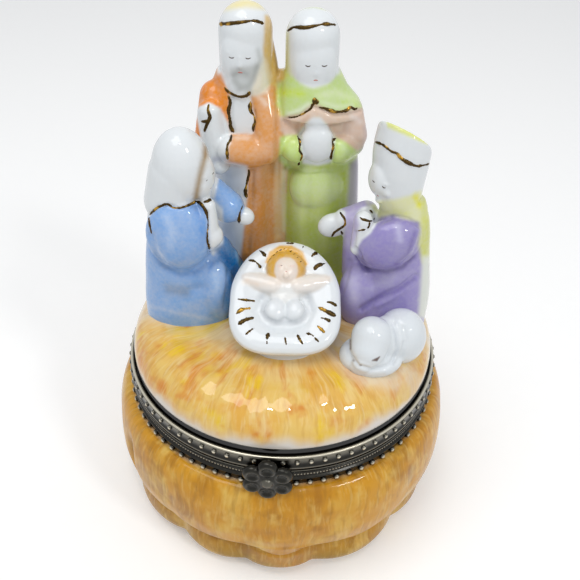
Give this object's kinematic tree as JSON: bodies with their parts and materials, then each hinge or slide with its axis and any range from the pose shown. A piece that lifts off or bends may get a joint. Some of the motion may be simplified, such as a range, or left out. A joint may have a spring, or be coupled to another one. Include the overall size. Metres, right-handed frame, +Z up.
{
  "type": "hinged porcelain trinket box",
  "caption": "Small hinged porcelain box with a scalloped base, beaded metal rims and a painted nativity group on its domed lid.",
  "frame": {"origin": "centre of the box's foot ring, on the surface it stands on", "axes": "+Z up, -Y towards the clasp, +Y towards the hinge, +X to the right as the clasp is faced"},
  "size_m": [0.0726, 0.0725, 0.1029],
  "materials": {
    "amber_porcelain": "amber brush strokes under a clear gloss glaze",
    "painted_porcelain": "white porcelain painted in soft colours under a clear gloss glaze, with gold lustre lines",
    "blackened_metal": "antiqued to gunmetal, rubbed bright on the high edges",
    "pin_steel": "drawn wire"
  },
  "bodies": {
    "base": {"porcelain_base": "amber_porcelain", "base_bezel": "blackened_metal", "catch_nub": "blackened_metal", "hinge_knuckle_left": "blackened_metal", "hinge_knuckle_right": "blackened_metal", "hinge_pin": "pin_steel"},
    "lid": {"porcelain_lid": "painted_porcelain", "lid_bezel": "blackened_metal", "clasp_flower": "blackened_metal", "hinge_knuckle_centre": "blackened_metal"}
  },
  "joints": [
    {"name": "lid_hinge", "type": "hinge", "parent": "base", "child": "lid", "pos_m": [0, 0.034, 0.034], "axis": [-1, 0, 0], "range_deg": [0, 100]}
  ]
}
